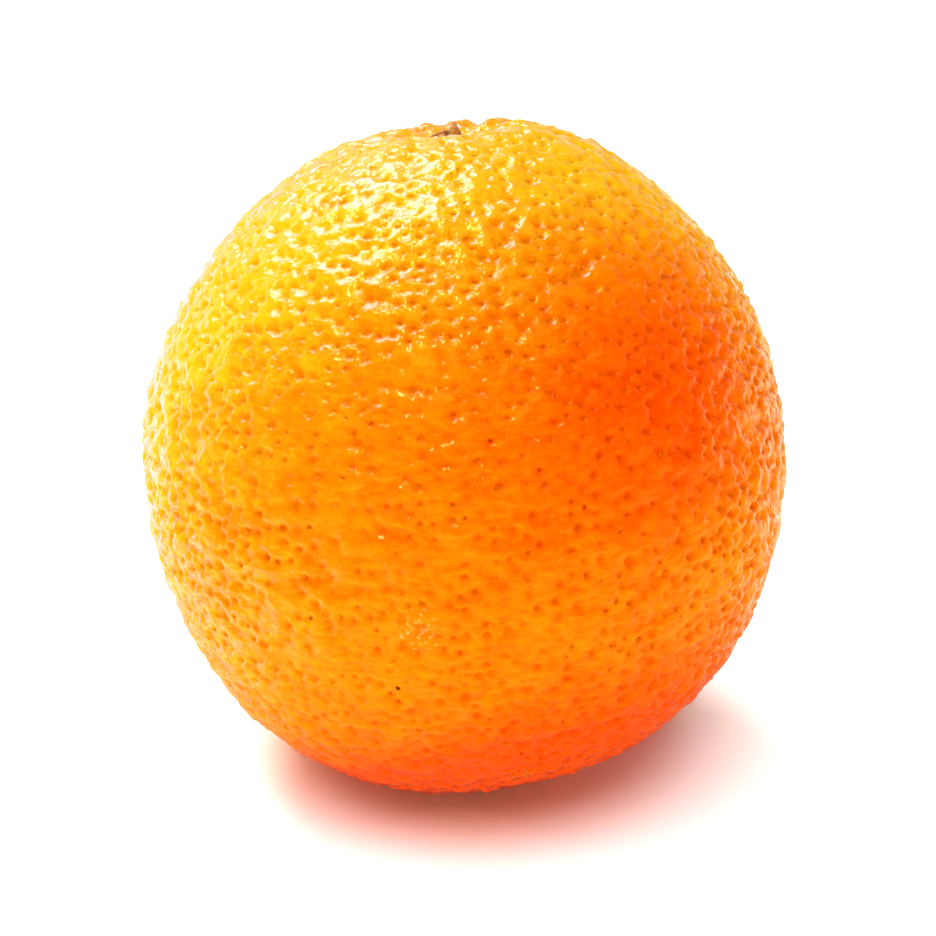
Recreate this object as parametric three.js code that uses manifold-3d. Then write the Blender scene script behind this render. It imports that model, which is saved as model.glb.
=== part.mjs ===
// A whole orange with its dried stem button, resting on its small flat spot.
// Millimetres, +Z up, the front of the fruit towards -Y. The origin lies on the rest flat,
// under the middle of the fruit.

import * as THREE from 'three';
import { mergeVertices } from 'three/addons/utils/BufferGeometryUtils.js';
import Module from 'manifold-3d';

const wasm = await Module();
wasm.setup();

// Driving dimensions of the fruit
const beltRadius = 40;            // from the middle of the fruit to its belt
const endStretch = 2.1;           // how much further away the stem end and blossom end are
const leanBack = 14.5;            // degrees the stem end leans away from the front
const leanLeft = 1.7;             // degrees it leans to the left
const restFlatRadius = 7.5;       // the spot the fruit rests on

// Low swellings that keep the fruit from being a perfect ball. They go round a line from its
// middle to its front, raised by frontRaised degrees: so many crests, so high, and the first
// crest turned so many degrees from +X.
const frontRaised = 25;
const swellings = [
  { crests: 2, height: 0.28, turn: 70 },
  { crests: 3, height: 0.34, turn: -30 },
  { crests: 4, height: 0.17, turn: -19 },
  { crests: 5, height: 0.25, turn: 25 },
];

// Sunken ends, as depth in millimetres and spread in degrees from the end's axis. The dip
// between the shoulders is askew: deeper on the side that skewTurn points to.
const shoulderDip = { depth: 1.8, spread: 14, skew: 0.5, skewTurn: 180 };
const stemHollow = { depth: 2.0, spread: 8.5 };
const blossomDent = { depth: 0.7, spread: 4 };
const dropOff = 4;                // power that gives the stem hollow its flat floor

// Furrows that run out from the stem between the shoulders. The first ridge is turned so far
// from +X, and the ridges on that side are higher by the uneven share, the opposite ones lower.
const furrows = { count: 12, turn: 87, height: 0.2, uneven: 0.5, strongestAt: 13 };

// Driving dimensions of the stem button: a cup with a broken stub in it and five sepals.
// Reach and rise are measured from the middle of the cup's underside.
const cupRadius = 1.2;
const cupRise = 0.5;
const sepalThickness = 0.45;
const sepalSharpness = 0.8;       // below 1 a sepal stays broad, above 1 it narrows early
const stub = { radius: 0.75, rise: 1.5, slant: 0.3 };
const sepals = [
  { turn: -95, bend: [2.0, 1.5], tip: [1.0, 2.6] },
  { turn: -23, bend: [2.5, 0.5], tip: [3.8, 0.9] },
  { turn: 49, bend: [2.4, 0.4], tip: [3.4, 0.6] },
  { turn: 121, bend: [2.2, 0.5], tip: [3.4, 0.8] },
  { turn: 193, bend: [0.3, 2.1], tip: [3.2, 0.8] },
];
const seatGap = 0.3;              // between the button and the rind

// How finely the surfaces are divided
const fruitSegments = 72;
const fruitRings = 34;
const ringCrowding = 0.5;         // 0 spaces the rings evenly, 1 crowds them most at the stem
const sepalSegments = 10;
const sepalSteps = 6;

const degree = Math.PI / 180;
const up = new THREE.Vector3(0, 0, 1);
const stemAxis = new THREE.Vector3(
  -Math.sin(leanLeft * degree),
  Math.sin(leanBack * degree) * Math.cos(leanLeft * degree),
  Math.cos(leanBack * degree) * Math.cos(leanLeft * degree),
);
const stemTurn = new THREE.Quaternion().setFromUnitVectors(up, stemAxis);

// Distance from the middle of the fruit to its skin. The direction is a unit vector,
// fromStem its angle from the stem axis and around its angle round that axis.
function skinRadius(direction, fromStem, around) {
  let radius = beltRadius + endStretch * Math.cos(fromStem) ** 2;

  const raise = frontRaised * degree;
  const upright = direction.y * Math.sin(raise) + direction.z * Math.cos(raise);
  const sideways = Math.hypot(direction.x, upright);
  const bearing = Math.atan2(upright, direction.x);
  for (const { crests, height, turn } of swellings) {
    radius += height * sideways ** crests * Math.cos(crests * (bearing - turn * degree));
  }

  const stemDegrees = fromStem / degree;
  const blossomDegrees = 180 - stemDegrees;
  const dip = stemDegrees / shoulderDip.spread;
  const askew = shoulderDip.skew * dip * Math.cos(around - shoulderDip.skewTurn * degree);
  radius -= shoulderDip.depth * Math.exp(-(dip ** 2)) * (1 + askew);
  radius -= stemHollow.depth * Math.exp(-((stemDegrees / stemHollow.spread) ** dropOff));
  radius -= blossomDent.depth * Math.exp(-((blossomDegrees / blossomDent.spread) ** 2));

  const outward = stemDegrees / furrows.strongestAt;
  const fade = (outward * Math.exp(1 - outward)) ** 2;
  const sinceRidge = around - furrows.turn * degree;
  const height = furrows.height * (1 + furrows.uneven * Math.cos(sinceRidge));
  return radius + height * fade * Math.cos(furrows.count * sinceRidge);
}

function toSolid(geometry) {
  const bare = geometry.clone();
  bare.deleteAttribute('normal');
  bare.deleteAttribute('uv');
  const merged = mergeVertices(bare, 1e-4);
  return new wasm.Manifold(new wasm.Mesh({
    numProp: 3,
    vertProperties: new Float32Array(merged.attributes.position.array),
    triVerts: new Uint32Array(merged.index.array),
  }));
}

function toGeometry(solid) {
  const { vertProperties, triVerts } = solid.getMesh();
  const geometry = new THREE.BufferGeometry();
  geometry.setAttribute('position', new THREE.BufferAttribute(vertProperties, 3));
  geometry.setIndex(new THREE.BufferAttribute(triVerts, 1));
  geometry.computeVertexNormals();
  return geometry;
}

// A ball whose rings go round the stem axis, pushed out to the skin and cut level below
function makeFruitGeometry() {
  const ball = new THREE.SphereGeometry(1, fruitSegments, fruitRings);
  ball.rotateX(Math.PI / 2);
  const position = ball.attributes.position;
  const direction = new THREE.Vector3();
  for (let i = 0; i < position.count; i++) {
    direction.fromBufferAttribute(position, i);
    const around = Math.atan2(direction.y, direction.x);
    const share = Math.acos(THREE.MathUtils.clamp(direction.z, -1, 1)) / Math.PI;
    const fromStem = Math.PI * share * (1 - ringCrowding * (1 - share));
    direction.set(
      Math.sin(fromStem) * Math.cos(around),
      Math.sin(fromStem) * Math.sin(around),
      Math.cos(fromStem),
    );
    direction.applyQuaternion(stemTurn);
    direction.multiplyScalar(skinRadius(direction, fromStem, around));
    position.setXYZ(i, direction.x, direction.y, direction.z);
  }

  const below = new THREE.Vector3(0, 0, -1);
  const lowest = skinRadius(below, below.angleTo(stemAxis), 0);
  const flatLevel = -lowest + restFlatRadius ** 2 / (2 * lowest);
  const cutSize = 4 * beltRadius;
  const cut = new THREE.BoxGeometry(cutSize, cutSize, cutSize);
  cut.translate(0, 0, flatLevel - cutSize / 2);
  return toGeometry(toSolid(ball).subtract(toSolid(cut)));
}

// Point on a sepal's middle line, from the rim of the cup (0) to the tip (1)
function sepalPoint({ bend, tip }, along) {
  const start = (1 - along) ** 2;
  const middle = 2 * along * (1 - along);
  const end = along ** 2;
  return new THREE.Vector2(
    start * cupRadius + middle * bend[0] + end * tip[0],
    start * cupRise + middle * bend[1] + end * tip[1],
  );
}

// The button's outline in the plane through its axis, as reach and rise from the middle of
// the underside, out to where the sepal ends at this angle and back over the stub
function buttonProfile(sepal, share, around) {
  const outer = [];
  const inner = [];
  for (let step = 0; step <= sepalSteps; step++) {
    const along = share * step / sepalSteps;
    const middle = sepalPoint(sepal, along);
    const ahead = sepalPoint(sepal, along + 0.01).sub(middle).normalize();
    const thin = 1 - 0.6 * step / sepalSteps;
    const side = new THREE.Vector2(ahead.y, -ahead.x).multiplyScalar(thin * sepalThickness / 2);
    outer.push(middle.clone().add(side));
    inner.unshift(middle.clone().sub(side));
  }
  const slanted = stub.rise - stub.slant * Math.cos(around);
  return [
    new THREE.Vector2(0, 0),
    new THREE.Vector2(0.7 * cupRadius, 0.05),
    ...outer,
    ...inner,
    new THREE.Vector2(stub.radius, cupRise + 0.1),
    new THREE.Vector2(0.9 * stub.radius, 0.9 * slanted),
    new THREE.Vector2(0.6 * stub.radius, slanted),
    new THREE.Vector2(0, stub.rise),
  ];
}

function makeButtonGeometry() {
  const columns = [];
  for (const sepal of sepals) {
    for (let i = 0; i < sepalSegments; i++) {
      const across = i / sepalSegments - 0.5;
      const around = (sepal.turn + 360 / sepals.length * across) * degree;
      const share = Math.cos(Math.PI * across) ** sepalSharpness;
      const profile = buttonProfile(sepal, Math.max(share, 0.02), around);
      columns.push(profile.map((point) => [
        point.x * Math.cos(around),
        point.x * Math.sin(around),
        point.y,
      ]));
    }
  }
  const corners = [];
  columns.forEach((here, i) => {
    const next = columns[(i + 1) % columns.length];
    const last = here.length - 2;
    for (let j = 0; j <= last; j++) {
      if (j > 0) corners.push(here[j], next[j], next[j + 1]);
      if (j < last) corners.push(here[j], next[j + 1], here[j + 1]);
    }
  });
  const geometry = new THREE.BufferGeometry();
  geometry.setAttribute('position', new THREE.Float32BufferAttribute(corners.flat(), 3));
  const merged = mergeVertices(geometry, 1e-4);
  merged.computeVertexNormals();
  return merged;
}

const orangePeel = new THREE.MeshStandardMaterial({ color: 0xff8a05, roughness: 0.4, metalness: 0 });
const dryStem = new THREE.MeshStandardMaterial({ color: 0x9a6a30, roughness: 0.8, metalness: 0 });

const fruit = new THREE.Mesh(makeFruitGeometry(), orangePeel);
fruit.name = 'fruit';
fruit.geometry.computeBoundingBox();
const box = fruit.geometry.boundingBox;
const middle = box.getCenter(new THREE.Vector3());
fruit.position.set(-middle.x, -middle.y, -box.min.z);

const button = new THREE.Mesh(makeButtonGeometry(), dryStem);
button.name = 'stem_button';
const seat = skinRadius(stemAxis, 0, 0) + seatGap;
button.position.copy(fruit.position).addScaledVector(stemAxis, seat);
button.quaternion.copy(stemTurn);

const orange = new THREE.Group();
orange.add(fruit, button);

export default orange;
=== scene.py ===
import math

import bmesh
import bpy
import numpy as np
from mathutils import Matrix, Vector
from mathutils.geometry import delaunay_2d_cdt


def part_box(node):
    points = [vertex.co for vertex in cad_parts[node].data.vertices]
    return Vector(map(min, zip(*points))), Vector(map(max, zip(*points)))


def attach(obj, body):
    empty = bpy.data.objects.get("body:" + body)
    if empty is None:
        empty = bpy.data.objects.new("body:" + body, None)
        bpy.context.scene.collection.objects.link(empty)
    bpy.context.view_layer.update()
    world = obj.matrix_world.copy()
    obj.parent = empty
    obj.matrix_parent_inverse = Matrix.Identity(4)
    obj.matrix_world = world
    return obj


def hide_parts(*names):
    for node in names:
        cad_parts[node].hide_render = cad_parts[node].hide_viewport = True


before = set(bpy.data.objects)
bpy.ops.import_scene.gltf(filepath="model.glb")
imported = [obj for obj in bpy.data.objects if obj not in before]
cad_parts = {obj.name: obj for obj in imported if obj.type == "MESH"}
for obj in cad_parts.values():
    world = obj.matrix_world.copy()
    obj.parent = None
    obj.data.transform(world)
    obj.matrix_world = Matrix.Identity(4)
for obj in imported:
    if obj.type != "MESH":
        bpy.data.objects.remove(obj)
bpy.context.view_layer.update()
mm = 0.001
degree = math.pi / 180
print("orange: frame loaded")


# Node helpers. A value that is itself a socket is linked, anything else is set on the input.

def setInput(tree, socket, value):
    if isinstance(value, bpy.types.NodeSocket):
        tree.links.new(value, socket)
    else:
        socket.default_value = value


def addNode(tree, kind, inputs=None, **settings):
    node = tree.nodes.new(kind)
    for name, value in settings.items():
        setattr(node, name, value)
    for key, value in (inputs or {}).items():
        setInput(tree, node.inputs[key], value)
    return node


def doMath(tree, operation, *values, clamp=False):
    node = addNode(tree, "ShaderNodeMath", operation=operation, use_clamp=clamp)
    for socket, value in zip(node.inputs, values):
        setInput(tree, socket, value)
    return node.outputs[0]


def doVectorMath(tree, operation, *values):
    node = addNode(tree, "ShaderNodeVectorMath", operation=operation)
    for socket, value in zip(node.inputs, values):
        setInput(tree, socket, value)
    return node.outputs["Value"] if operation in ("LENGTH", "DISTANCE", "DOT_PRODUCT") else node.outputs[0]


def mapRange(tree, value, low, high, toLow=0.0, toHigh=1.0, smooth=False):
    node = addNode(tree, "ShaderNodeMapRange", interpolation_type="SMOOTHSTEP" if smooth else "LINEAR")
    for name, given in (("Value", value), ("From Min", low), ("From Max", high),
                        ("To Min", toLow), ("To Max", toHigh)):
        setInput(tree, node.inputs[name], given)
    return node.outputs["Result"]


def addNoise(tree, where, size, detail=2.0, stretch=(1.0, 1.0, 1.0), shift=0.0, roughness=0.5, output=0):
    # size is the wavelength in metres, stretch makes it longer along an axis
    scale = tuple(1.0 / (size * s) for s in stretch)
    spread = doVectorMath(tree, "MULTIPLY", where, scale)
    moved = doVectorMath(tree, "ADD", spread, (shift, 1.7 * shift, -2.3 * shift))
    noise = addNode(tree, "ShaderNodeTexNoise", {"Vector": moved, "Scale": 1.0, "Detail": detail,
                                                 "Roughness": roughness})
    return noise.outputs[output]


def makeTree(name, sizes):
    tree = bpy.data.node_groups.new(name, "GeometryNodeTree")
    face = tree.interface
    face.new_socket("Geometry", in_out="INPUT", socket_type="NodeSocketGeometry")
    for label, value in sizes.items():
        kind = "NodeSocketInt" if isinstance(value, int) else "NodeSocketFloat"
        if isinstance(value, bpy.types.Material):
            kind = "NodeSocketMaterial"
        face.new_socket(label, in_out="INPUT", socket_type=kind)
    face.new_socket("Geometry", in_out="OUTPUT", socket_type="NodeSocketGeometry")
    return tree, tree.nodes.new("NodeGroupInput"), tree.nodes.new("NodeGroupOutput")


def runTree(piece, tree, sizes):
    # gives the piece the tree's result as its own plain mesh
    modifier = piece.modifiers.new(tree.name, "NODES")
    modifier.node_group = tree
    for item in tree.interface.items_tree:
        if item.in_out == "INPUT" and item.name in sizes:
            modifier[item.identifier] = sizes[item.name]
    graph = bpy.context.evaluated_depsgraph_get()
    graph.update()
    result = bpy.data.meshes.new_from_object(piece.evaluated_get(graph), depsgraph=graph)
    piece.modifiers.remove(modifier)
    piece.data = result
    return result


def makeMaterial(name):
    material = bpy.data.materials.new(name)
    material.use_nodes = True
    tree = material.node_tree
    tree.nodes.clear()
    shader = tree.nodes.new("ShaderNodeBsdfPrincipled")
    out = tree.nodes.new("ShaderNodeOutputMaterial")
    tree.links.new(shader.outputs[0], out.inputs[0])
    return material, tree, shader


# The fruit's skin, by the same rule and sizes as the solid underneath

skin = {
    "beltRadius": 40.0,
    "endStretch": 2.1,
    "leanBack": 14.5,
    "leanLeft": 1.7,
    "frontRaised": 25.0,
    "swellings": ((2, 0.28, 70.0), (3, 0.34, -30.0), (4, 0.17, -19.0), (5, 0.25, 25.0)),
    "shoulderDip": (1.8, 14.0),
    "dipSkew": 0.5,
    "stemHollow": (2.0, 8.5),
    "blossomDent": (0.7, 4.0),
    "furrowCount": 12,
    "furrowTurn": 87.0,
    "furrowHeight": 0.2,
    "furrowUneven": 0.5,
    "furrowAt": 13.0,
    "restFlatRadius": 7.5,
}

stemAxis = Vector((
    -math.sin(skin["leanLeft"] * degree),
    math.sin(skin["leanBack"] * degree) * math.cos(skin["leanLeft"] * degree),
    math.cos(skin["leanBack"] * degree) * math.cos(skin["leanLeft"] * degree),
))
stemTurn = np.array(Vector((0, 0, 1)).rotation_difference(stemAxis).to_matrix())


def skinRadii(directions):
    local = directions @ stemTurn
    away = np.degrees(np.arccos(np.clip(local[:, 2], -1, 1)))
    around = np.arctan2(local[:, 1], local[:, 0])
    radii = skin["beltRadius"] + skin["endStretch"] * local[:, 2] ** 2

    raised = skin["frontRaised"] * degree
    upright = directions[:, 1] * math.sin(raised) + directions[:, 2] * math.cos(raised)
    sideways = np.hypot(directions[:, 0], upright)
    bearing = np.arctan2(upright, directions[:, 0])
    for crests, height, turn in skin["swellings"]:
        radii += height * sideways ** crests * np.cos(crests * (bearing - turn * degree))

    depth, spread = skin["shoulderDip"]
    dip = away / spread
    radii -= depth * np.exp(-dip ** 2) * (1 + skin["dipSkew"] * dip * np.cos(around - math.pi))
    depth, spread = skin["stemHollow"]
    radii -= depth * np.exp(-(away / spread) ** 4)
    depth, spread = skin["blossomDent"]
    radii -= depth * np.exp(-((180 - away) / spread) ** 2)

    outward = away / skin["furrowAt"]
    fade = (outward * np.exp(1 - outward)) ** 2
    sinceRidge = around - skin["furrowTurn"] * degree
    height = skin["furrowHeight"] * (1 + skin["furrowUneven"] * np.cos(sinceRidge))
    return radii + height * fade * np.cos(skin["furrowCount"] * sinceRidge)


below = np.array([[0.0, 0.0, -1.0]])
lowest = float(skinRadii(below)[0])
flatLevel = -lowest + skin["restFlatRadius"] ** 2 / (2 * lowest)
seatRadius = float(skinRadii(np.array([stemAxis]))[0])


def layOnSkin(directions):
    # points on the smooth skin, in millimetres from the fruit's middle
    points = directions * skinRadii(directions)[:, None]
    points[:, 2] = np.maximum(points[:, 2], flatLevel)
    return points


def ballDirections(levels):
    ball = bmesh.new()
    bmesh.ops.create_icosphere(ball, subdivisions=levels, radius=1.0)
    places = np.array([corner.co.normalized() for corner in ball.verts])
    faces = [[corner.index for corner in face.verts] for face in ball.faces]
    ball.free()
    return places, faces


def makePiece(name, points, faces):
    mesh = bpy.data.meshes.new(name)
    mesh.from_pydata(points.tolist(), [], faces)
    mesh.update()
    piece = bpy.data.objects.new(name, mesh)
    bpy.context.scene.collection.objects.link(piece)
    return piece


ballPlaces, ballFaces = ballDirections(6)
smoothSkin = layOnSkin(ballPlaces)
fruitBox = np.array(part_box("fruit")) / mm
fruitMiddle = (fruitBox[0] + fruitBox[1]) / 2 - (smoothSkin.max(0) + smoothSkin.min(0)) / 2
fruitMiddle[2] = -flatLevel
print("orange: skin laid out, middle at", fruitMiddle.round(2), "mm")


# Oil glands. The first tree scatters them and the points that the peel is made of: a hub
# and two rings for each gland, and fill between the glands.

glands = {
    "Gland Spacing": 1.5 * mm,
    "Left Out": 0.2,
    "Inner Ring": 0.3 * mm,
    "Outer Ring": 0.66 * mm,
    "Smallest": 0.5,
    "Largest": 1.35,
    "Fill Spacing": 0.44 * mm,
    "Fill Clearance": 0.95 * mm,
    "Gland Crowding": 1.6e6,
    "Fill Crowding": 2.4e7,
    "Inner Corners": 5,
    "Outer Corners": 8,
    "Seed": 11,
}


def makeScatterTree(sizes):
    tree, given, out = makeTree("gland_scatter", sizes)
    base = given.outputs["Geometry"]
    scatter = addNode(tree, "GeometryNodeDistributePointsOnFaces", {
        "Mesh": base, "Distance Min": given.outputs["Gland Spacing"],
        "Density Max": given.outputs["Gland Crowding"], "Seed": given.outputs["Seed"]},
        distribute_method="POISSON")
    size = addNode(tree, "FunctionNodeRandomValue", {
        2: given.outputs["Smallest"], 3: given.outputs["Largest"],
        "Seed": given.outputs["Seed"]}, data_type="FLOAT").outputs[1]
    place = tree.nodes.new("GeometryNodeInputPosition").outputs[0]
    missing = addNode(tree, "FunctionNodeRandomValue", {
        "Probability": given.outputs["Left Out"], "Seed": doMath(tree, "ADD", given.outputs["Seed"], 2.0)},
        data_type="BOOLEAN").outputs[3]
    thinned = addNode(tree, "GeometryNodeDeleteGeometry", {
        "Geometry": scatter.outputs["Points"], "Selection": missing}, domain="POINT")
    placed = addNode(tree, "GeometryNodeStoreNamedAttribute", {
        "Geometry": thinned.outputs[0], "Name": "gland", "Value": place},
        data_type="FLOAT_VECTOR", domain="POINT")
    sized = addNode(tree, "GeometryNodeStoreNamedAttribute", {
        "Geometry": placed.outputs[0], "Name": "glandSize", "Value": size},
        data_type="FLOAT", domain="POINT")

    hub = addNode(tree, "GeometryNodeMeshLine", {"Count": 1})
    inner = addNode(tree, "GeometryNodeMeshCircle", {
        "Vertices": given.outputs["Inner Corners"], "Radius": given.outputs["Inner Ring"]})
    outer = addNode(tree, "GeometryNodeMeshCircle", {
        "Vertices": given.outputs["Outer Corners"], "Radius": given.outputs["Outer Ring"]})
    cup = tree.nodes.new("GeometryNodeJoinGeometry")
    for part in (outer, inner, hub):
        tree.links.new(part.outputs[0], cup.inputs[0])
    spin = addNode(tree, "FunctionNodeRandomValue", {
        0: (0.0, 0.0, 0.0), 1: (0.0, 0.0, 2 * math.pi)}, data_type="FLOAT_VECTOR").outputs[0]
    sizeHere = addNode(tree, "GeometryNodeInputNamedAttribute", {"Name": "glandSize"},
                       data_type="FLOAT").outputs[0]
    cups = addNode(tree, "GeometryNodeInstanceOnPoints", {
        "Points": sized.outputs[0], "Instance": cup.outputs[0],
        "Rotation": scatter.outputs["Rotation"], "Scale": sizeHere})
    turned = addNode(tree, "GeometryNodeRotateInstances", {
        "Instances": cups.outputs[0], "Rotation": spin, "Local Space": True})
    realCups = addNode(tree, "GeometryNodeRealizeInstances", {"Geometry": turned.outputs[0]})

    fill = addNode(tree, "GeometryNodeDistributePointsOnFaces", {
        "Mesh": base, "Distance Min": given.outputs["Fill Spacing"],
        "Density Max": given.outputs["Fill Crowding"],
        "Seed": doMath(tree, "ADD", given.outputs["Seed"], 5.0)}, distribute_method="POISSON")
    nearest = addNode(tree, "GeometryNodeSampleNearest", {"Geometry": sized.outputs[0]}, domain="POINT")
    hubHere = addNode(tree, "GeometryNodeSampleIndex", {
        "Geometry": sized.outputs[0], "Value": place, "Index": nearest.outputs[0]},
        data_type="FLOAT_VECTOR", domain="POINT").outputs[0]
    scaleHere = addNode(tree, "GeometryNodeSampleIndex", {
        "Geometry": sized.outputs[0], "Value": sizeHere, "Index": nearest.outputs[0]},
        data_type="FLOAT", domain="POINT").outputs[0]
    gap = doVectorMath(tree, "DISTANCE", place, hubHere)
    reach = doMath(tree, "MULTIPLY", scaleHere, given.outputs["Fill Clearance"])
    crowded = addNode(tree, "FunctionNodeCompare", {0: gap, 1: reach},
                      data_type="FLOAT", operation="LESS_THAN").outputs[0]
    kept = addNode(tree, "GeometryNodeDeleteGeometry", {
        "Geometry": fill.outputs[0], "Selection": crowded}, domain="POINT")
    fillCorners = addNode(tree, "GeometryNodePointsToVertices", {"Points": kept.outputs[0]})
    together = tree.nodes.new("GeometryNodeJoinGeometry")
    for part in (fillCorners, realCups):
        tree.links.new(part.outputs[0], together.inputs[0])
    tree.links.new(together.outputs[0], out.inputs[0])
    return tree


def readPoints(mesh):
    flat = np.empty(3 * len(mesh.vertices))
    mesh.vertices.foreach_get("co", flat)
    return flat.reshape(-1, 3)


def wrapPoints(directions):
    # the faces of the closed net through points on a ball, with one more point at its foot
    spread = directions[:, :2] / (1 + directions[:, 2:3])
    net = delaunay_2d_cdt([Vector(place) for place in spread.tolist()], [], [], 0, 1e-9)
    origin = [sources[0] for sources in net[3]]
    faces = [[origin[corner] for corner in face] for face in net[2]]
    sides = {(face[i], face[i - 2]) for face in faces for i in range(3)}
    foot = len(directions)
    faces += [[b, a, foot] for a, b in sides if (b, a) not in sides]
    return faces


base = makePiece("skin_base", smoothSkin * mm, ballFaces)
cloud = runTree(base, makeScatterTree(glands), glands)
points = readPoints(cloud)
hubs = np.empty(3 * len(points))
cloud.attributes["gland"].data.foreach_get("vector", hubs)
sizes = np.empty(len(points))
cloud.attributes["glandSize"].data.foreach_get("value", sizes)
isHub = np.linalg.norm(points - hubs.reshape(-1, 3), axis=1) < 1e-7
directions = points / np.linalg.norm(points, axis=1)[:, None]
peelFaces = wrapPoints(directions)
directions = np.vstack([directions, below])
isHub = np.append(isHub, False)
sizes = np.append(sizes, 0.0)
peelPoints = layOnSkin(directions) + fruitMiddle
bpy.data.objects.remove(base)
print("orange:", int(isHub.sum()), "glands,", len(peelPoints), "corners,", len(peelFaces), "faces")

peel = makePiece("peel", peelPoints * mm, peelFaces)
for name, kind, values in (("hub", "FLOAT", isHub.astype(float)), ("glandSize", "FLOAT", sizes)):
    layer = peel.data.attributes.new(name, kind, "POINT")
    layer.data.foreach_set("value", values)


# The second tree sinks the glands and rolls the rind between them.

rind = {
    "Core Depth": 0.14 * mm,
    "Core Radius": 0.28 * mm,
    "Dimple Depth": 0.22 * mm,
    "Dimple Radius": 0.52 * mm,
    "Ridge Height": 0.25 * mm,
    "Ridge Crest": 0.95 * mm,
    "Ridge Shape": 1.6,
    "Ridge Wander": 0.5 * mm,
    "Roll Height": 0.16 * mm,
    "Ripple Height": 0.15 * mm,
    "Fold Depth": 0.2 * mm,
    "Level": 0.07 * mm,
}

# How the rind varies: wavelengths of its noises, and what each one does between its two limits
pattern = {
    "pitStretch": 0.62,            # share of a pit's gap that its long way doesn't count
    "pitTurnSize": 0.7 * mm,
    "pitTurnSway": 5.0,
    "pitBendSize": 0.8 * mm,
    "pitBend": (0.6, 1.45),
    "strengthSize": 0.9 * mm,
    "strength": (0.15, 1.6),
    "heights": (15.0 * mm, 45.0 * mm),
    "heightShare": (0.65, 1.1),
    "wanderSize": 1.6 * mm,
    "furthestCrest": 1.25,
    "crestSize": 4.5 * mm,
    "crest": (0.6, 1.25),
    "rollSize": 3.6 * mm,
    "rollStretch": (1.8, 1.8, 1.0),
    "rippleSize": 1.7 * mm,
    "foldSize": 1.3 * mm,
    "foldStretch": (3.2, 3.2, 1.0),
    "foldEdge": (0.53, 0.66),
    "calmReach": (2.0 * mm, 10.0 * mm),
    "calmShare": 0.25,             # of the relief that is left round the stem
    "bottomShare": -1.2,
}


def scaleVector(tree, vector, scale):
    return addNode(tree, "ShaderNodeVectorMath", {0: vector, "Scale": scale}, operation="SCALE").outputs[0]


def centredNoise(tree, where, size, shift):
    # a random vector, each part from about -0.5 to 0.5
    return doVectorMath(tree, "SUBTRACT", addNoise(tree, where, size, shift=shift, output=1), (0.5, 0.5, 0.5))


def pitGap(tree, away, axis):
    # distance from the pit's hub, shorter along the pit's long way
    along = doVectorMath(tree, "DOT_PRODUCT", away, axis)
    full = doVectorMath(tree, "DOT_PRODUCT", away, away)
    return doMath(tree, "SQRT", doMath(tree, "SUBTRACT", full, doMath(
        tree, "MULTIPLY", doMath(tree, "MULTIPLY", along, along), pattern["pitStretch"])))


def toStemFrame(tree, where):
    fromMiddle = doVectorMath(tree, "SUBTRACT", where, tuple(fruitMiddle * mm))
    parts = [doVectorMath(tree, "DOT_PRODUCT", fromMiddle, tuple(stemTurn[:, i])) for i in range(3)]
    return addNode(tree, "ShaderNodeCombineXYZ", dict(enumerate(parts))).outputs[0]


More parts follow.
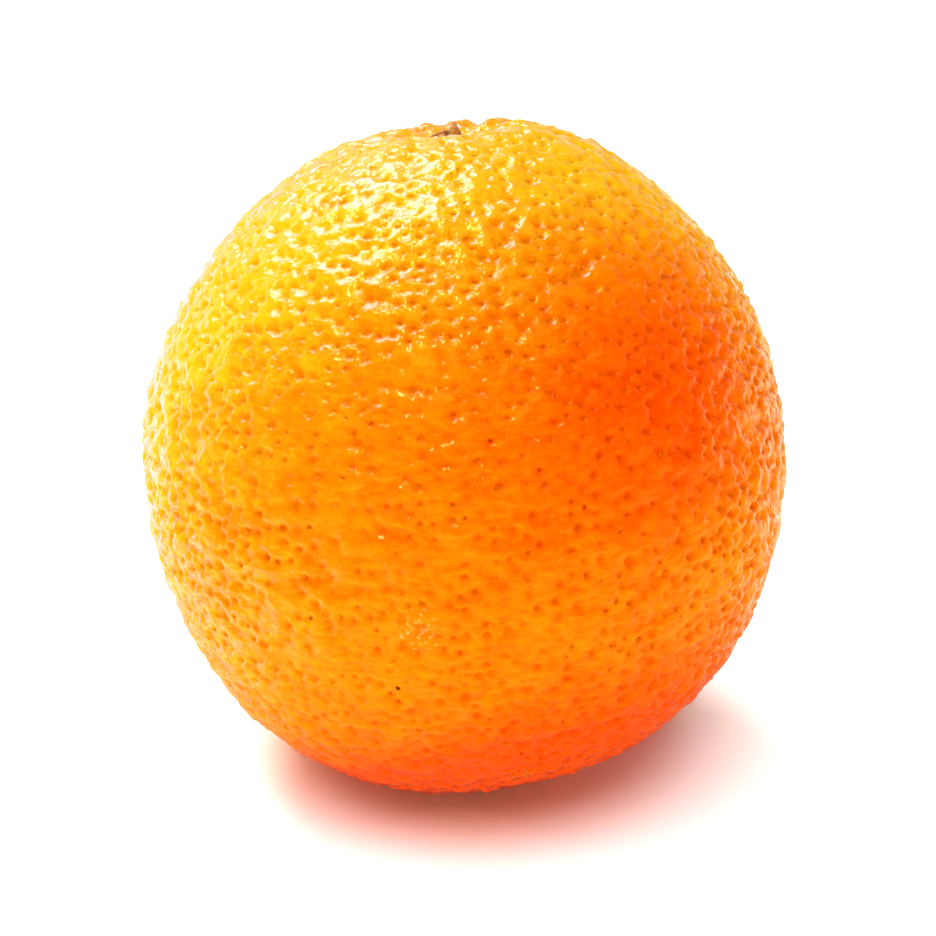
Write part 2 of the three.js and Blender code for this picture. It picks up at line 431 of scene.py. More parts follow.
def makeRindTree(sizes):
    tree, given, out = makeTree("oil_glands", sizes)
    place = tree.nodes.new("GeometryNodeInputPosition").outputs[0]
    normal = tree.nodes.new("GeometryNodeInputNormal").outputs[0]
    hubHere = addNode(tree, "GeometryNodeInputNamedAttribute", {"Name": "hub"}, data_type="FLOAT").outputs[0]
    sizeHere = addNode(tree, "GeometryNodeInputNamedAttribute", {"Name": "glandSize"},
                       data_type="FLOAT").outputs[0]
    onlyHubs = addNode(tree, "GeometryNodeSeparateGeometry", {
        "Geometry": given.outputs["Geometry"],
        "Selection": addNode(tree, "FunctionNodeCompare", {0: hubHere, 1: 0.5},
                             data_type="FLOAT", operation="GREATER_THAN").outputs[0]}, domain="POINT")
    nearest = addNode(tree, "GeometryNodeSampleNearest", {"Geometry": onlyHubs.outputs[0]}, domain="POINT")
    sampled = []
    for value, kind in ((place, "FLOAT_VECTOR"), (sizeHere, "FLOAT"), (normal, "FLOAT_VECTOR")):
        sampled.append(addNode(tree, "GeometryNodeSampleIndex", {
            "Geometry": onlyHubs.outputs[0], "Value": value, "Index": nearest.outputs[0]},
            data_type=kind, domain="POINT").outputs[0])
    glandPlace, glandSize, glandNormal = sampled

    # each pit is longer one way, mostly round the fruit
    eastward = doVectorMath(tree, "CROSS_PRODUCT", tuple(stemAxis), glandNormal)
    eastward = doVectorMath(tree, "NORMALIZE", eastward)
    turned = centredNoise(tree, glandPlace, pattern["pitTurnSize"], 6.6)
    glandAxis = doVectorMath(tree, "NORMALIZE", doVectorMath(
        tree, "ADD", eastward, scaleVector(tree, turned, pattern["pitTurnSway"])))
    away = doVectorMath(tree, "SUBTRACT", place, glandPlace)
    gap = pitGap(tree, away, glandAxis)
    bend = addNoise(tree, place, pattern["pitBendSize"], detail=1.0, shift=3.1)
    bentGap = doMath(tree, "MULTIPLY", gap, mapRange(tree, bend, 0.25, 0.75, *pattern["pitBend"]))
    unit = doMath(tree, "DIVIDE", bentGap, glandSize)

    def bowl(radius, depth):
        share = doMath(tree, "DIVIDE", unit, radius)
        fall = doMath(tree, "EXPONENT", doMath(tree, "MULTIPLY", doMath(tree, "POWER", share, 2.0), -1.0))
        return doMath(tree, "MULTIPLY", fall, depth)

    # the pits are uneven, and shallower low on the fruit
    strength = mapRange(tree, addNoise(tree, glandPlace, pattern["strengthSize"], shift=9.0),
                        0.35, 0.65, *pattern["strength"])
    high = addNode(tree, "ShaderNodeSeparateXYZ", {0: glandPlace}).outputs[2]
    strength = doMath(tree, "MULTIPLY", strength, mapRange(
        tree, high, *pattern["heights"], *pattern["heightShare"]))
    sunk = doMath(tree, "ADD", bowl(given.outputs["Core Radius"], given.outputs["Core Depth"]),
                  bowl(given.outputs["Dimple Radius"], given.outputs["Dimple Depth"]))
    core = doMath(tree, "MULTIPLY", sunk, strength)
    # the ridges run where two glands are equally near, on a line that wanders
    wander = centredNoise(tree, place, pattern["wanderSize"], 4.4)
    wandered = doVectorMath(tree, "ADD", place, scaleVector(tree, wander, given.outputs["Ridge Wander"]))
    crest = addNode(tree, "GeometryNodeSampleNearest", {
        "Geometry": onlyHubs.outputs[0], "Sample Position": wandered}, domain="POINT")
    crestPlace = addNode(tree, "GeometryNodeSampleIndex", {
        "Geometry": onlyHubs.outputs[0], "Value": place, "Index": crest.outputs[0]},
        data_type="FLOAT_VECTOR", domain="POINT").outputs[0]
    farness = doMath(tree, "DIVIDE", doVectorMath(tree, "DISTANCE", wandered, crestPlace),
                     given.outputs["Ridge Crest"])
    climb = doMath(tree, "POWER", doMath(tree, "MINIMUM", farness, pattern["furthestCrest"]),
                   given.outputs["Ridge Shape"])
    tall = mapRange(tree, addNoise(tree, place, pattern["crestSize"], shift=12.0),
                    0.35, 0.65, *pattern["crest"])
    ridge = doMath(tree, "MULTIPLY", doMath(tree, "MULTIPLY", climb, tall), given.outputs["Ridge Height"])
    level = toStemFrame(tree, place)
    rolling = addNoise(tree, level, pattern["rollSize"], detail=1.0, stretch=pattern["rollStretch"])
    roll = mapRange(tree, rolling, 0.3, 0.7, -1.0, 1.0)
    ripple = mapRange(tree, addNoise(tree, place, pattern["rippleSize"], shift=5.0), 0.3, 0.7, -1.0, 1.0)
    fold = addNoise(tree, level, pattern["foldSize"], stretch=pattern["foldStretch"], shift=2.0, detail=1.0)
    foldSunk = mapRange(tree, fold, *pattern["foldEdge"], 0.0, 1.0, smooth=True)

    height = doMath(tree, "MULTIPLY", roll, given.outputs["Roll Height"])
    height = doMath(tree, "ADD", height, doMath(tree, "MULTIPLY", ripple, given.outputs["Ripple Height"]))
    height = doMath(tree, "SUBTRACT", height, doMath(tree, "MULTIPLY", foldSunk, given.outputs["Fold Depth"]))
    height = doMath(tree, "SUBTRACT", height, core)
    height = doMath(tree, "ADD", height, ridge)
    height = doMath(tree, "SUBTRACT", height, given.outputs["Level"])
    seat = (fruitMiddle + seatRadius * np.array(stemAxis)) * mm
    calm = mapRange(tree, doVectorMath(tree, "DISTANCE", place, tuple(seat)),
                    *pattern["calmReach"], pattern["calmShare"], 1.0)
    height = doMath(tree, "MULTIPLY", height, calm)

    drop = doMath(tree, "MULTIPLY", given.outputs["Core Depth"], pattern["bottomShare"])
    glandBottom = doVectorMath(tree, "ADD", glandPlace, scaleVector(tree, glandNormal, drop))
    marked = given.outputs["Geometry"]
    for name, kind, value in (("glandPlace", "FLOAT_VECTOR", glandBottom), ("glandScale", "FLOAT", glandSize),
                              ("glandAxis", "FLOAT_VECTOR", glandAxis), ("glandDeep", "FLOAT", strength),
                              ("glandGap", "FLOAT", gap), ("relief", "FLOAT", height)):
        marked = addNode(tree, "GeometryNodeStoreNamedAttribute", {
            "Geometry": marked, "Name": name, "Value": value}, data_type=kind, domain="POINT").outputs[0]
    reliefHere = addNode(tree, "GeometryNodeInputNamedAttribute", {"Name": "relief"},
                         data_type="FLOAT").outputs[0]
    push = scaleVector(tree, normal, reliefHere)
    pushed = addNode(tree, "GeometryNodeSetPosition", {"Geometry": marked, "Offset": push}).outputs[0]
    parts = addNode(tree, "ShaderNodeSeparateXYZ", {0: place})
    onFloor = addNode(tree, "ShaderNodeCombineXYZ", {
        0: parts.outputs[0], 1: parts.outputs[1], 2: doMath(tree, "MAXIMUM", parts.outputs[2], 0.0)})
    pressed = addNode(tree, "GeometryNodeSetPosition", {"Geometry": pushed, "Position": onFloor.outputs[0]})
    smooth = addNode(tree, "GeometryNodeSetShadeSmooth", {"Geometry": pressed.outputs[0]})
    real = addNode(tree, "GeometryNodeRealizeInstances", {"Geometry": smooth.outputs[0]})
    coated = addNode(tree, "GeometryNodeSetMaterial", {
        "Geometry": real.outputs[0], "Material": given.outputs["Finish"]})
    tree.links.new(coated.outputs[0], out.inputs[0])
    return tree


# How yellow the peel is, as the logarithm of its green. It leans yellow to the left, back and
# top, partly the peel's own tone and partly painted light from the lit side, and patches are
# added to it, each with its middle, its size and its strength: a deep orange cheek, partly
# painted shade on the dimmer right, a yellower lower front, partly painted light, a slightly
# yellower right flank, partly painted light, and a deep orange foot, partly painted shade
# underneath. rear holds the yellow down behind, where the lean and the front would carry it too far.
finish = {
    "middling": -1.6,
    "lean": (-0.73, 1.65, 1.22),
    "cheek": ((0.59, -0.67, 0.52), 0.42, -0.78),
    "front": ((0.18, -0.51, -0.79), 0.98, 4.72),
    "flank": ((0.78, -0.62, 0.0), 0.3, 0.28),
    "foot": ((0.18, -0.38, -0.91), 0.635, -7.1),
    "mottle": 0.13,
    # hollow and crest: painted shade in the hollows, painted light on the crests
    "hollow": -0.04,
    "crest": 0.07,
    # spot: the pits' own deeper orange, partly painted shade inside them
    "spot": -0.08,
    "streak": 0.26,
    "speckle": 0.08,
    "shine": (0.25, 0.6),          # specular level in the pits and on the crests
    "roughness": (0.1, 0.18),
    "grainBump": 0.02,
    "lumpBump": 0.3,
    "pitBump": -0.22,
    "bumpStrength": 0.8,
    "pitMouth": (0.42 * mm, 0.58 * mm),
    "pitCore": 0.34 * mm,
    "spotEdge": (0.08 * mm, 0.42 * mm),
    "deepestSpot": 1.2,
    "markFade": 0.3,
    "markEdge": 0.12,
    "reflected": (1.0, 0.95, 0.06, 1.0),
    "deepest": -2.66,
    "yellowest": -0.69,
    "rear": -1.35,
    "flecks": ((-0.13, -0.987, -0.091), 0.13, (1.0, 0.38, 0.06, 1.0), 0.6 * mm, 0.52),
    "blotch": ((0.17, -0.68, -0.71), 0.075, (0.7, 0.12, 0.004, 1.0), 0.5 * mm, 0.42),
    "speck": ((-0.19, -0.938, -0.291), 0.006, (0.1, 0.01, 0.0, 1.0), 0.6 * mm, 0.0),
    "blossomScar": (tuple(-stemAxis), 0.03, (0.3, 0.12, 0.03, 1.0), 0.7 * mm, 0.3),
    "deepOrange": (1.0, 0.07, 0.0, 1.0),
    "orange": (1.0, 0.134, 0.0, 1.0),
    "warmOrange": (1.0, 0.26, 0.001, 1.0),
    "gold": (1.0, 0.5, 0.006, 1.0),
}


def makePeelFinish():
    material, tree, shader = makeMaterial("orange_peel")
    where = addNode(tree, "ShaderNodeTexCoord").outputs["Object"]
    way = doVectorMath(tree, "NORMALIZE", doVectorMath(tree, "SUBTRACT", where, tuple(fruitMiddle * mm)))
    # the lean and the patches are partly the peel's own tone and partly painted light and shade
    yellow = doMath(tree, "ADD", doVectorMath(tree, "DOT_PRODUCT", way, finish["lean"]), finish["middling"])
    for patch in ("cheek", "front", "flank", "foot"):
        middle, size, strength = finish[patch]
        share = doMath(tree, "DIVIDE", doVectorMath(tree, "DISTANCE", way, middle), size)
        squared = doMath(tree, "MULTIPLY", share, share)
        fall = doMath(tree, "EXPONENT", doMath(tree, "MULTIPLY", squared, -1.0))
        yellow = doMath(tree, "ADD", yellow, doMath(tree, "MULTIPLY", fall, strength))
    rearward = addNode(tree, "ShaderNodeSeparateXYZ", {0: way}).outputs[1]
    yellow = doMath(tree, "MINIMUM", yellow, mapRange(
        tree, rearward, 0.1, 0.65, finish["yellowest"], finish["rear"], smooth=True))
    mottle = mapRange(tree, addNoise(tree, where, 7.0 * mm, detail=4.0, shift=1.0), 0.3, 0.7, -1.0, 1.0)
    yellow = doMath(tree, "ADD", yellow, doMath(tree, "MULTIPLY", mottle, finish["mottle"]))
    # the relief colours the peel: deeper orange in the hollows as painted shade, lighter on the crests as
    # painted light
    relief = addNode(tree, "ShaderNodeAttribute", attribute_name="relief").outputs["Fac"]
    yellow = doMath(tree, "ADD", yellow, mapRange(
        tree, relief, -0.3 * mm, 0.2 * mm, finish["hollow"], finish["crest"]))
    # each pit gets a deeper orange spot: partly the gland's own deeper colour, partly painted shade in the
    # pit
    hub = addNode(tree, "ShaderNodeAttribute", attribute_name="glandPlace").outputs["Vector"]
    scale = addNode(tree, "ShaderNodeAttribute", attribute_name="glandScale").outputs["Fac"]
    axis = addNode(tree, "ShaderNodeAttribute", attribute_name="glandAxis").outputs["Vector"]
    gap = doMath(tree, "DIVIDE", pitGap(tree, doVectorMath(tree, "SUBTRACT", where, hub), axis), scale)
    around = doMath(tree, "DIVIDE", addNode(
        tree, "ShaderNodeAttribute", attribute_name="glandGap").outputs["Fac"], scale)
    inside = mapRange(tree, around, *finish["pitMouth"], 1.0, 0.0, smooth=True)
    deepHere = addNode(tree, "ShaderNodeAttribute", attribute_name="glandDeep").outputs["Fac"]
    frayed = doMath(tree, "MULTIPLY", gap, mapRange(
        tree, addNoise(tree, where, 0.45 * mm, detail=2.0, shift=2.7), 0.35, 0.65, 0.5, 2.2))
    spot = mapRange(tree, frayed, *finish["spotEdge"], 1.0, 0.0, smooth=True)
    spot = doMath(tree, "MULTIPLY", spot, inside)
    spot = doMath(tree, "MULTIPLY", spot, doMath(tree, "MINIMUM", deepHere, finish["deepestSpot"]))
    yellow = doMath(tree, "ADD", yellow, doMath(tree, "MULTIPLY", spot, finish["spot"]))
    flow = addNoise(tree, where, 0.9 * mm, detail=4.0, stretch=(2.6, 2.6, 1.0), shift=5.1, roughness=0.6)
    yellow = doMath(tree, "ADD", yellow, mapRange(
        tree, flow, 0.3, 0.7, -finish["streak"], finish["streak"]))
    fine = addNoise(tree, where, 0.3 * mm, detail=1.0, shift=3.3)
    yellow = doMath(tree, "ADD", yellow, mapRange(
        tree, fine, 0.3, 0.7, -finish["speckle"], finish["speckle"]))
    ramp = addNode(tree, "ShaderNodeValToRGB", {
        0: mapRange(tree, yellow, finish["deepest"], finish["yellowest"])})
    ramp.color_ramp.elements[0].color = finish["deepOrange"]
    ramp.color_ramp.elements[1].color = finish["gold"]
    ramp.color_ramp.elements.new(1 / 3).color = finish["orange"]
    ramp.color_ramp.elements.new(2 / 3).color = finish["warmOrange"]
    colour = ramp.outputs[0]
    for mark in ("flecks", "blotch", "speck", "blossomScar"):
        middle, size, tint, grain, rarity = finish[mark]
        near = doMath(tree, "DIVIDE", doVectorMath(tree, "DISTANCE", way, middle), size)
        broken = addNoise(tree, where, grain, detail=2.0, shift=6.2)
        faded = doMath(tree, "MULTIPLY", doMath(tree, "POWER", near, 2.0), finish["markFade"])
        near = doMath(tree, "SUBTRACT", broken, faded)
        blend = addNode(tree, "ShaderNodeMix", {0: mapRange(
            tree, near, rarity, rarity + finish["markEdge"], smooth=True)}, data_type="RGBA")
        setInput(tree, blend.inputs[6], colour)
        setInput(tree, blend.inputs[7], tint)
        colour = blend.outputs[2]
    setInput(tree, shader.inputs["Base Color"], colour)

    grain = addNoise(tree, where, 0.35 * mm, detail=3.0)
    setInput(tree, shader.inputs["Roughness"], mapRange(
        tree, addNoise(tree, where, 2.2 * mm, detail=4.0, shift=7.0), 0.3, 0.7, *finish["roughness"]))
    lumps = addNoise(tree, where, 0.95 * mm, detail=1.0, shift=8.0)
    height = doMath(tree, "ADD", doMath(tree, "MULTIPLY", grain, finish["grainBump"]),
                    doMath(tree, "MULTIPLY", lumps, finish["lumpBump"]))
    deep = mapRange(tree, gap, 0.0, finish["pitCore"], 1.0, 0.0, smooth=True)
    deep = doMath(tree, "MULTIPLY", doMath(tree, "MULTIPLY", deep, inside), deepHere)
    deep = doMath(tree, "MULTIPLY", deep, finish["pitBump"])
    bump = addNode(tree, "ShaderNodeBump", {
        "Height": doMath(tree, "ADD", height, deep), "Distance": 1.0 * mm,
        "Strength": finish["bumpStrength"]})
    setInput(tree, shader.inputs["Normal"], bump.outputs[0])
    setInput(tree, shader.inputs["Specular IOR Level"], mapRange(
        tree, relief, -0.32 * mm, 0.04 * mm, *finish["shine"]))
    shader.inputs["IOR"].default_value = 1.45
    # a yellow reflection, which keeps blue out of the deep orange
    shader.inputs["Specular Tint"].default_value = finish["reflected"]
    return material


peelFinish = makePeelFinish()
rindSizes = dict(rind, Finish=peelFinish)
runTree(peel, makeRindTree(rindSizes), rindSizes)
peel.data.name = "peel"
print("orange: peel made,", len(peel.data.polygons), "faces")

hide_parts("fruit")
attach(peel, "root")


# The dried stem button in the hollow: a cup with a broken stub in it and five sepals

button = {
    "cupRadius": 1.2,
    "cupRise": 0.5,
    "sepalThickness": 0.45,
    "sepalSharpness": 0.8,
    "sepalSegments": 24,
    "sepalSteps": 14,
    "stubRadius": 0.75,
    "stubRise": 1.75,
    "stubSlant": 0.25,
    "sepals": (
        (-95, (2.0, 1.5), (1.0, 2.6)),
        (-23, (2.5, 0.5), (3.8, 0.9)),
        (49, (2.4, 0.4), (3.4, 0.6)),
        (121, (2.2, 0.5), (3.4, 0.8)),
        (193, (0.3, 2.1), (3.2, 0.8)),
    ),
    "seatGap": 0.3,
}


def sepalPoint(bend, tip, along):
    start, middle, end = (1 - along) ** 2, 2 * along * (1 - along), along ** 2
    return np.array((start * button["cupRadius"] + middle * bend[0] + end * tip[0],
                     start * button["cupRise"] + middle * bend[1] + end * tip[1]))


def buttonProfile(bend, tip, share, around):
    # reach and rise from the middle of the underside, out along the sepal and back over the stub
    outer, inner = [], []
    steps = button["sepalSteps"]
    for step in range(steps + 1):
        along = share * step / steps
        middle = sepalPoint(bend, tip, along)
        ahead = sepalPoint(bend, tip, along + 0.01) - middle
        ahead = ahead / np.hypot(*ahead)
        half = button["sepalThickness"] / 2 * (1 - 0.6 * step / steps)
        side = np.array((ahead[1], -ahead[0])) * half
        outer.append(middle + side)
        inner.insert(0, middle - side)
    radius, rise = button["stubRadius"], button["stubRise"]
    slanted = rise - button["stubSlant"] * math.cos(around)
    stub = [(radius, button["cupRise"] + 0.1), (radius, 0.6 * slanted), (0.9 * radius, 0.9 * slanted),
            (0.6 * radius, slanted), (0.3 * radius, 0.6 * slanted + 0.4 * rise)]
    return [(0.35 * button["cupRadius"], 0.02), (0.7 * button["cupRadius"], 0.05)] + outer + inner + stub


def makeButton():
    columns = []
    for turn, bend, tip in button["sepals"]:
        for i in range(button["sepalSegments"]):
            across = i / button["sepalSegments"] - 0.5
            around = (turn + 360 / len(button["sepals"]) * across) * degree
            share = max(math.cos(math.pi * across), 0.0) ** button["sepalSharpness"]
            columns.append([(reach * math.cos(around), reach * math.sin(around), rise)
                            for reach, rise in buttonProfile(bend, tip, max(share, 0.02), around)])
    height = len(columns[0])
    corners = [corner for column in columns for corner in column]
    foot, top = len(corners), len(corners) + 1
    corners += [(0.0, 0.0, 0.0), (0.0, 0.0, button["stubRise"])]
    faces = []
    for i in range(len(columns)):
        here, there = i * height, (i + 1) % len(columns) * height
        faces.append((foot, there, here))
        faces.append((here + height - 1, there + height - 1, top))
        for j in range(height - 1):
            faces.append((here + j, there + j, there + j + 1, here + j + 1))
    seat = fruitMiddle + np.array(stemAxis) * (seatRadius + button["seatGap"])
    return makePiece("stem_button_dry", (np.array(corners) @ stemTurn.T + seat) * mm, faces)


fibres = {
    "Fibre Height": 0.07 * mm,
    "Knot Height": 0.06 * mm,
}
ribRing = 2.2 * mm                 # radius on which the ribs are spaced


def makeFibreTree(sizes):
    # frays the button: fine ribs that run out from the middle, and coarser lumps
    tree, given, out = makeTree("dry_fibres", sizes)
    place = tree.nodes.new("GeometryNodeInputPosition").outputs[0]
    normal = tree.nodes.new("GeometryNodeInputNormal").outputs[0]
    seat = (fruitMiddle + seatRadius * np.array(stemAxis)) * mm
    local = toStemFrame(tree, doVectorMath(tree, "SUBTRACT", place, tuple(seat - fruitMiddle * mm)))
    parts = addNode(tree, "ShaderNodeSeparateXYZ", {0: local})
    around = doMath(tree, "ARCTAN2", parts.outputs[1], parts.outputs[0])
    reach = doVectorMath(tree, "LENGTH", addNode(tree, "ShaderNodeCombineXYZ", {
        0: parts.outputs[0], 1: parts.outputs[1]}).outputs[0])
    ribPlace = addNode(tree, "ShaderNodeCombineXYZ", {
        0: doMath(tree, "MULTIPLY", doMath(tree, "COSINE", around), ribRing),
        1: doMath(tree, "MULTIPLY", doMath(tree, "SINE", around), ribRing),
        2: doMath(tree, "MULTIPLY", reach, 0.15)}).outputs[0]
    rib = mapRange(tree, addNoise(tree, ribPlace, 0.22 * mm, detail=1.0), 0.3, 0.7, -1.0, 1.0)
    lump = mapRange(tree, addNoise(tree, place, 0.7 * mm, detail=2.0, shift=3.0), 0.3, 0.7, -1.0, 1.0)
    height = doMath(tree, "ADD", doMath(tree, "MULTIPLY", rib, given.outputs["Fibre Height"]),
                    doMath(tree, "MULTIPLY", lump, given.outputs["Knot Height"]))
    push = scaleVector(tree, normal, height)
    pushed = addNode(tree, "GeometryNodeSetPosition", {
        "Geometry": given.outputs["Geometry"], "Offset": push}).outputs[0]
    smooth = addNode(tree, "GeometryNodeSetShadeSmooth", {"Geometry": pushed})
    real = addNode(tree, "GeometryNodeRealizeInstances", {"Geometry": smooth.outputs[0]})
    coated = addNode(tree, "GeometryNodeSetMaterial", {
        "Geometry": real.outputs[0], "Material": given.outputs["Finish"]})
    tree.links.new(coated.outputs[0], out.inputs[0])
    return tree


dryStem = {
    "tan": (0.72, 0.34, 0.09, 1.0),
    "brown": (0.38, 0.15, 0.03, 1.0),
    "olive": (0.42, 0.3, 0.06, 1.0),
    "roughness": 0.85,
    "shine": 0.15,
    "fibreBump": 0.08,
    "bumpStrength": 0.6,
}


def makeStemFinish():
    material, tree, shader = makeMaterial("dry_stem")
    where = addNode(tree, "ShaderNodeTexCoord").outputs["Object"]
    fibre = addNoise(tree, where, 0.35 * mm, detail=3.0, stretch=(1.0, 1.0, 3.5))
    lump = addNoise(tree, where, 1.6 * mm, detail=2.0, shift=5.0)
    wood = addNode(tree, "ShaderNodeMix", {0: mapRange(tree, fibre, 0.38, 0.62)}, data_type="RGBA")
    setInput(tree, wood.inputs[6], dryStem["brown"])
    setInput(tree, wood.inputs[7], dryStem["tan"])
    stained = addNode(tree, "ShaderNodeMix", {0: mapRange(tree, lump, 0.5, 0.62, 0.0, 0.8)}, data_type="RGBA")
    setInput(tree, stained.inputs[6], wood.outputs[2])
    setInput(tree, stained.inputs[7], dryStem["olive"])
    setInput(tree, shader.inputs["Base Color"], stained.outputs[2])
    shader.inputs["Roughness"].default_value = dryStem["roughness"]
    shader.inputs["Specular IOR Level"].default_value = dryStem["shine"]
    bump = addNode(tree, "ShaderNodeBump", {
        "Height": doMath(tree, "MULTIPLY", fibre, dryStem["fibreBump"]), "Distance": 1.0 * mm,
        "Strength": dryStem["bumpStrength"]})
    setInput(tree, shader.inputs["Normal"], bump.outputs[0])
    return material


stemButton = makeButton()
fibreSizes = dict(fibres, Finish=makeStemFinish())
runTree(stemButton, makeFibreTree(fibreSizes), fibreSizes)
stemButton.data.name = "stem_button_dry"
print("orange: stem button made,", len(stemButton.data.polygons), "faces")

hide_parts("stem_button")
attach(stemButton, "root")


# Floor, light and camera. The floor and the world look different to reflections than to the
# camera: brighter behind and at the sides, dimmer in front, and tinted. The window and glint
# lamps are bluish and make highlights only, the others light the fruit and make none.

studio = {
    "skyFrom": (-0.11, -0.31, 1.0),
    "skyEdge": 38.0,
    "skyFull": 26.0,
    "skyLow": 0.03,
    "skyHigh": 2.5,
    "floorColour": 1.6,
    "floorDeep": 0.4,
    "floorMirrored": 0.3,
    "floorMirroredBlue": 0.15,
    "floorBelow": -0.02 * mm,
    # underReach, underGreen and underBlue paint the floor warm round the foot: painted orange bounce light in
    # the fruit's shadow
    "underReach": (0.012, 0.032),  # metres from the foot, where the floor is painted warm
    "underGreen": 0.5,
    "underBlue": 0.3,
    "floorBlue": 0.97,
    "wedge": 0.5,
    "backFrom": -0.07,
    "backTo": 0.02,
    "closeFull": 0.08,
    "closeEdge": 0.15,
    "closeGlow": 0.9,
    "closeAside": (0.04, 0.065),
    "closeTurn": (0.25, 0.75),
    "closeRight": 0.35,
    "sideSpan": 0.15,
    "mirroredLeft": 1.3,
    "mirroredRight": 1.2,
    "mirroredGreen": (0.76, 1.0),
    "mirroredBlue": (1.4, 0.7),
    "mirroredBehind": 1.5,
    "mirroredFront": 0.03,
    "behindFrom": (0.0, 0.75),
    "behindHigh": (0.05, 0.45),
    "behindAbove": 0.3,
    "leftward": (-0.7, 0.4),
    "rightShare": 0.4,
    "mirroredColour": (1.0, 0.97, 0.85, 1.0),
    "mirroredAbove": 0.7,
    "floorSeen": 2.3,
    "keyFrom": (-0.34, 0.40, 0.85),
    "keyDistance": 0.6,
    "keyWidth": 0.4,
    "keyPower": 2.5,
    "fillLeft": (-0.77, -0.64, 0.02),
    "fillRight": (0.77, -0.64, 0.02),
    "fillWidth": 0.07,
    "fillPower": 0.8,
    "rimLeft": (-0.93, 0.36, 0.05),
    "rimRight": (0.93, 0.36, 0.05),
    "rimPower": 0.35,
    "windowFrom": (-0.36, 0.45, 0.80),
    "windowWidth": 0.45,
    "windowPower": 3.7,
    "windowCore": 0.2,
    "windowCorePower": 1.8,
    "windowColour": (1.0, 0.9, 2.9),
    "glintFrom": (-0.26, -0.22, 0.93),
    "glintWidth": 0.15,
    "glintPower": 1.2,
}


def makeFloor():
    half = 3.0
    corners = np.array([[-half, -half, 0.0], [half, -half, 0.0], [half, half, 0.0], [-half, half, 0.0]])
    corners[:, 2] = studio["floorBelow"]
    floor = makePiece("floor", corners, [[0, 1, 2, 3]])
    material, tree, shader = makeMaterial("white_floor")
    tree.nodes.remove(shader)
    path = addNode(tree, "ShaderNodeLightPath")
    deep = mapRange(tree, path.outputs["Ray Depth"], 1.0, 2.0, studio["floorColour"], studio["floorDeep"])
    place = addNode(tree, "ShaderNodeTexCoord").outputs["Object"]
    fromFoot = doVectorMath(tree, "LENGTH", place)
    where = addNode(tree, "ShaderNodeSeparateXYZ", {0: place})
    aside = doMath(tree, "ABSOLUTE", where.outputs[0])
    wedge = doMath(tree, "SUBTRACT", where.outputs[1], doMath(tree, "MULTIPLY", aside, studio["wedge"]))
    wedge = mapRange(tree, wedge, studio["backFrom"], studio["backTo"], smooth=True)
    close = mapRange(tree, fromFoot, studio["closeFull"], studio["closeEdge"], studio["closeGlow"], 0.0,
                     smooth=True)
    close = doMath(tree, "MULTIPLY", close, mapRange(tree, aside, *studio["closeAside"], smooth=True))
    right = mapRange(tree, where.outputs[0], -studio["sideSpan"], studio["sideSpan"], smooth=True)
    close = doMath(tree, "MULTIPLY", close, mapRange(
        tree, right, *studio["closeTurn"], 1.0, studio["closeRight"]))
    back = doMath(tree, "MAXIMUM", wedge, close)
    side = mapRange(tree, right, 0.0, 1.0, studio["mirroredLeft"], studio["mirroredRight"])
    mirrored = mapRange(tree, back, 0.0, 2.0, studio["floorMirrored"], doMath(tree, "MULTIPLY", side, 2.0))
    straight = mapRange(tree, path.outputs["Ray Depth"], 1.0, 2.0, mirrored, studio["floorDeep"])
    glossy = path.outputs["Is Glossy Ray"]
    level = mapRange(tree, glossy, 0.0, 1.0, deep, straight)
    level = mapRange(tree, path.outputs["Is Camera Ray"], 0.0, 1.0, level, studio["floorSeen"])
    green = mapRange(tree, back, 0.0, 1.0, 1.0, mapRange(tree, right, 0.0, 1.0, *studio["mirroredGreen"]))
    blue = mapRange(tree, back, 0.0, 1.0, studio["floorMirroredBlue"],
                    mapRange(tree, right, 0.0, 1.0, *studio["mirroredBlue"]))
    # painted warm shadow: the floor near the foot is tinted orange for the camera and for bounced light,
    # standing in for bounce light
    under = mapRange(tree, fromFoot, *studio["underReach"], 1.0, 0.0, smooth=True)
    plainGreen = mapRange(tree, under, 0.0, 1.0, 1.0, studio["underGreen"])
    green = mapRange(tree, glossy, 0.0, 1.0, plainGreen, green)
    plainBlue = mapRange(tree, under, 0.0, 1.0, studio["floorBlue"], studio["underBlue"])
    blue = mapRange(tree, glossy, 0.0, 1.0, plainBlue, blue)
    colour = addNode(tree, "ShaderNodeCombineColor", {
        0: level, 1: doMath(tree, "MULTIPLY", level, green), 2: doMath(tree, "MULTIPLY", level, blue)})
    plain = addNode(tree, "ShaderNodeBsdfDiffuse", {"Color": colour.outputs[0]})
    tree.links.new(plain.outputs[0], tree.nodes["Material Output"].inputs[0])
    floor.data.materials.append(material)
    return floor


makeFloor()


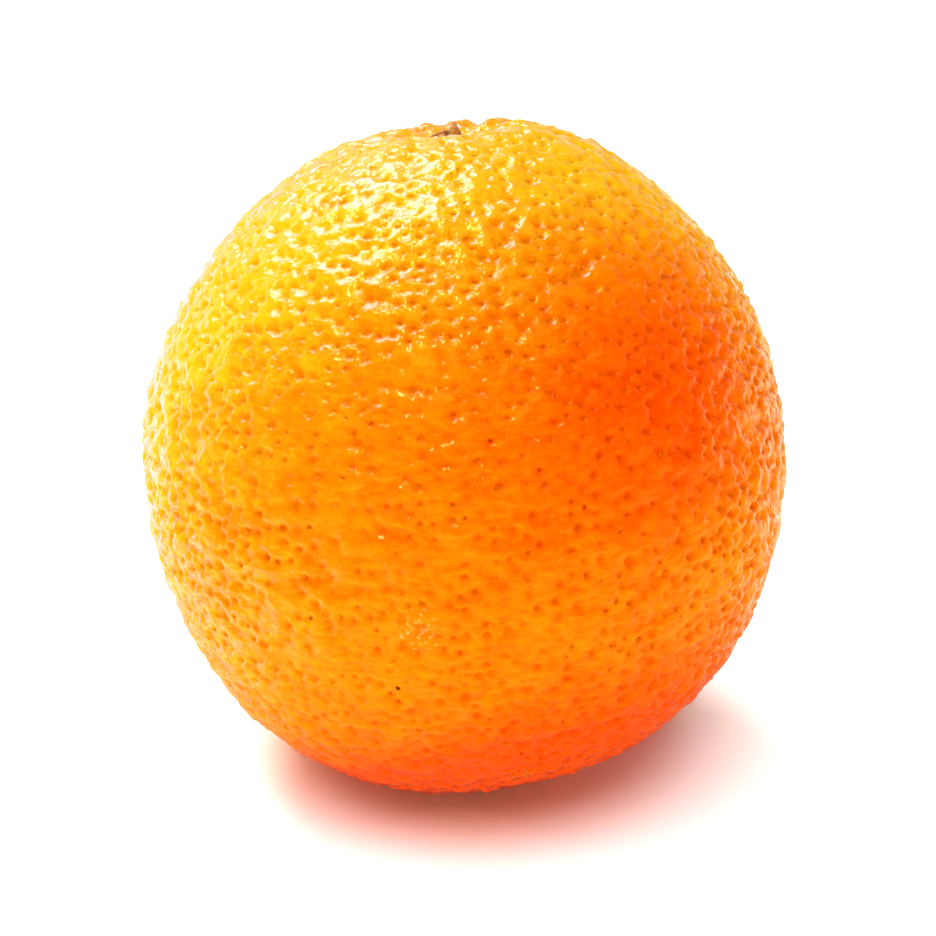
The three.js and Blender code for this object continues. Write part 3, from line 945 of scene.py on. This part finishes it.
def makeWorld():
    world = bpy.data.worlds.new("white_studio")
    bpy.context.scene.world = world
    world.use_nodes = True
    tree = world.node_tree
    tree.nodes.clear()
    path = addNode(tree, "ShaderNodeLightPath")
    way = addNode(tree, "ShaderNodeTexCoord").outputs["Generated"]
    parts = addNode(tree, "ShaderNodeSeparateXYZ", {0: way})
    behind = mapRange(tree, parts.outputs[1], *studio["behindFrom"], studio["mirroredFront"],
                      studio["mirroredBehind"], smooth=True)
    behind = doMath(tree, "MULTIPLY", behind, mapRange(
        tree, parts.outputs[2], *studio["behindHigh"], 1.0, studio["behindAbove"], smooth=True))
    leftward = mapRange(tree, parts.outputs[0], *studio["leftward"], 1.0, studio["rightShare"], smooth=True)
    toward = doVectorMath(tree, "DOT_PRODUCT", way, tuple(Vector(studio["skyFrom"]).normalized()))
    sky = mapRange(tree, toward, math.cos(studio["skyEdge"] * degree), math.cos(studio["skyFull"] * degree),
                   studio["skyLow"], studio["skyHigh"], smooth=True)
    above = doMath(tree, "MULTIPLY", sky, studio["mirroredAbove"] / studio["skyHigh"])
    mirrored = doMath(tree, "MAXIMUM", doMath(tree, "MULTIPLY", behind, leftward), above)
    seen = doMath(tree, "MAXIMUM", path.outputs["Is Camera Ray"], path.outputs["Is Transmission Ray"])
    glossy = path.outputs["Is Glossy Ray"]
    level = mapRange(tree, glossy, 0.0, 1.0, sky, mirrored)
    level = mapRange(tree, seen, 0.0, 1.0, level, 1.0)
    warm = addNode(tree, "ShaderNodeMix", {0: glossy}, data_type="RGBA")
    setInput(tree, warm.inputs[6], (1.0, 1.0, 1.0, 1.0))
    setInput(tree, warm.inputs[7], studio["mirroredColour"])
    shine = addNode(tree, "ShaderNodeBackground", {"Color": warm.outputs[2], "Strength": level})
    out = addNode(tree, "ShaderNodeOutputWorld")
    tree.links.new(shine.outputs[0], out.inputs[0])


makeWorld()


def addLamp(name, way, distance, width, power):
    data = bpy.data.lights.new(name, "AREA")
    data.shape = "DISK"
    data.size = width
    data.energy = power
    lamp = bpy.data.objects.new(name, data)
    bpy.context.scene.collection.objects.link(lamp)
    middle = Vector(fruitMiddle) * mm
    lamp.location = middle + Vector(way).normalized() * distance
    lamp.rotation_euler = Vector(way).to_track_quat("Z", "Y").to_euler()
    return lamp


key = addLamp("key_light", studio["keyFrom"], studio["keyDistance"], studio["keyWidth"], studio["keyPower"])
key.visible_glossy = False
for name, way, power in (("fill_left", "fillLeft", "fillPower"), ("fill_right", "fillRight", "fillPower"),
                         ("rim_left", "rimLeft", "rimPower"), ("rim_right", "rimRight", "rimPower")):
    fill = addLamp(name, studio[way], studio["keyDistance"], studio["fillWidth"], studio[power])
    fill.visible_glossy = False
for name, width, power in (("window_glow", "windowWidth", "windowPower"),
                           ("window_core", "windowCore", "windowCorePower")):
    window = addLamp(name, studio["windowFrom"], studio["keyDistance"], studio[width], studio[power])
    window.visible_diffuse = False
    window.data.color = studio["windowColour"]
glint = addLamp("glint", studio["glintFrom"], studio["keyDistance"], studio["glintWidth"],
                studio["glintPower"])
glint.visible_diffuse = False
glint.data.color = studio["windowColour"]

view = {
    "elevation": 25.0,
    "distance": 391.0,
    "lens": 120.0,
    "sideways": 0.5,
    "below": 1.63,
    "middleHeight": 41.35,
    "sensor": 36.0,
}


def makeCamera():
    data = bpy.data.cameras.new("camera")
    data.lens = view["lens"]
    data.sensor_width = view["sensor"]
    data.clip_start = 0.01
    camera = bpy.data.objects.new("camera", data)
    bpy.context.scene.collection.objects.link(camera)
    raised = view["elevation"] * degree
    upward = Vector((0, math.sin(raised), math.cos(raised)))
    back = Vector((0, -math.cos(raised), math.sin(raised)))
    aim = Vector((view["sideways"], 0, view["middleHeight"])) - upward * view["below"]
    camera.location = (aim + back * view["distance"]) * mm
    camera.rotation_euler = back.to_track_quat("Z", "Y").to_euler()
    bpy.context.scene.camera = camera


makeCamera()
bpy.context.scene.view_settings.view_transform = "Standard"

print("orange: scene done")
